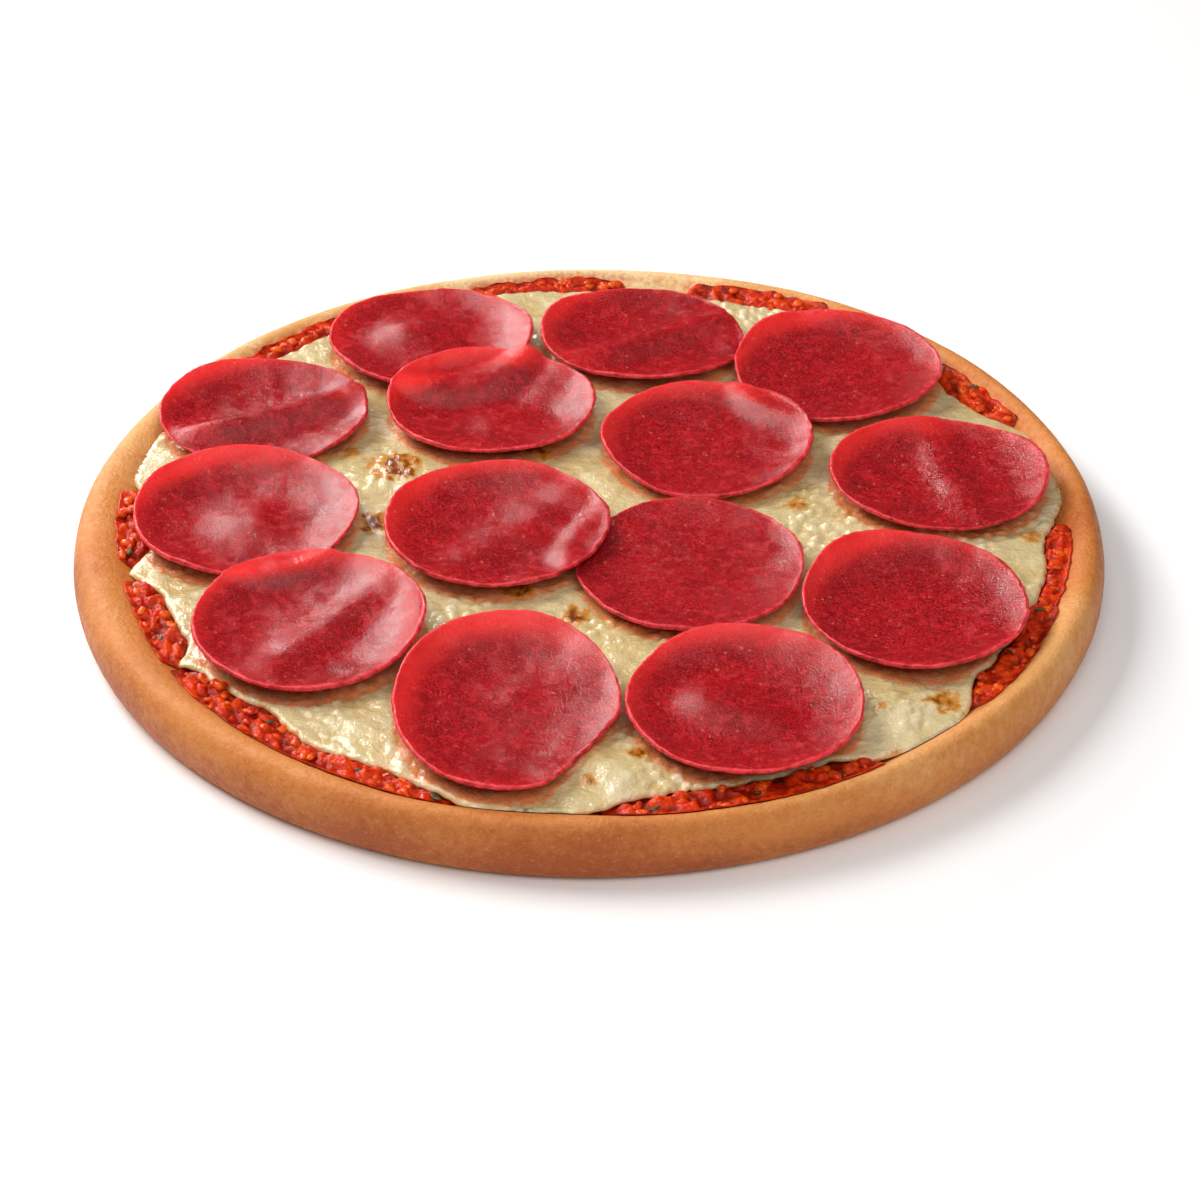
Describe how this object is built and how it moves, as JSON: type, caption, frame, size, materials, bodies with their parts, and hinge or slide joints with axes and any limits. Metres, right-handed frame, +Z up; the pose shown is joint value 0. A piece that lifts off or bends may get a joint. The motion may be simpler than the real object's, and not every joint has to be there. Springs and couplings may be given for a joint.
{
  "type": "pepperoni pan pizza",
  "caption": "Whole round pan pizza with a thick raised crust, melted cheese, tomato sauce showing at the rim and large cupped pepperoni slices.",
  "frame": {"origin": "centre of the flat underside of the crust, which is the face it rests on", "axes": "+Z up through the pizza's thickness, -Y towards the viewer of the picture, +X to the viewer's right"},
  "size_m": [0.2988, 0.2972, 0.0268],
  "materials": {
    "dough": "golden-brown baked dough, fine-grained and matt",
    "sauce": "wet, lumpy tomato sauce, glossy",
    "cheese": "melted pale cheese, oily and slightly translucent",
    "pepperoni": "mottled red cured meat with a thin film of fat"
  },
  "bodies": {
    "root": {"crust": "dough", "sauce": "sauce", "cheese": "cheese", "pepperoni_01": "pepperoni", "pepperoni_02": "pepperoni", "pepperoni_03": "pepperoni", "pepperoni_04": "pepperoni", "pepperoni_05": "pepperoni", "pepperoni_06": "pepperoni", "pepperoni_07": "pepperoni", "pepperoni_08": "pepperoni", "pepperoni_09": "pepperoni", "pepperoni_10": "pepperoni", "pepperoni_11": "pepperoni", "pepperoni_12": "pepperoni", "pepperoni_13": "pepperoni", "pepperoni_14": "pepperoni"}
  },
  "joints": []
}
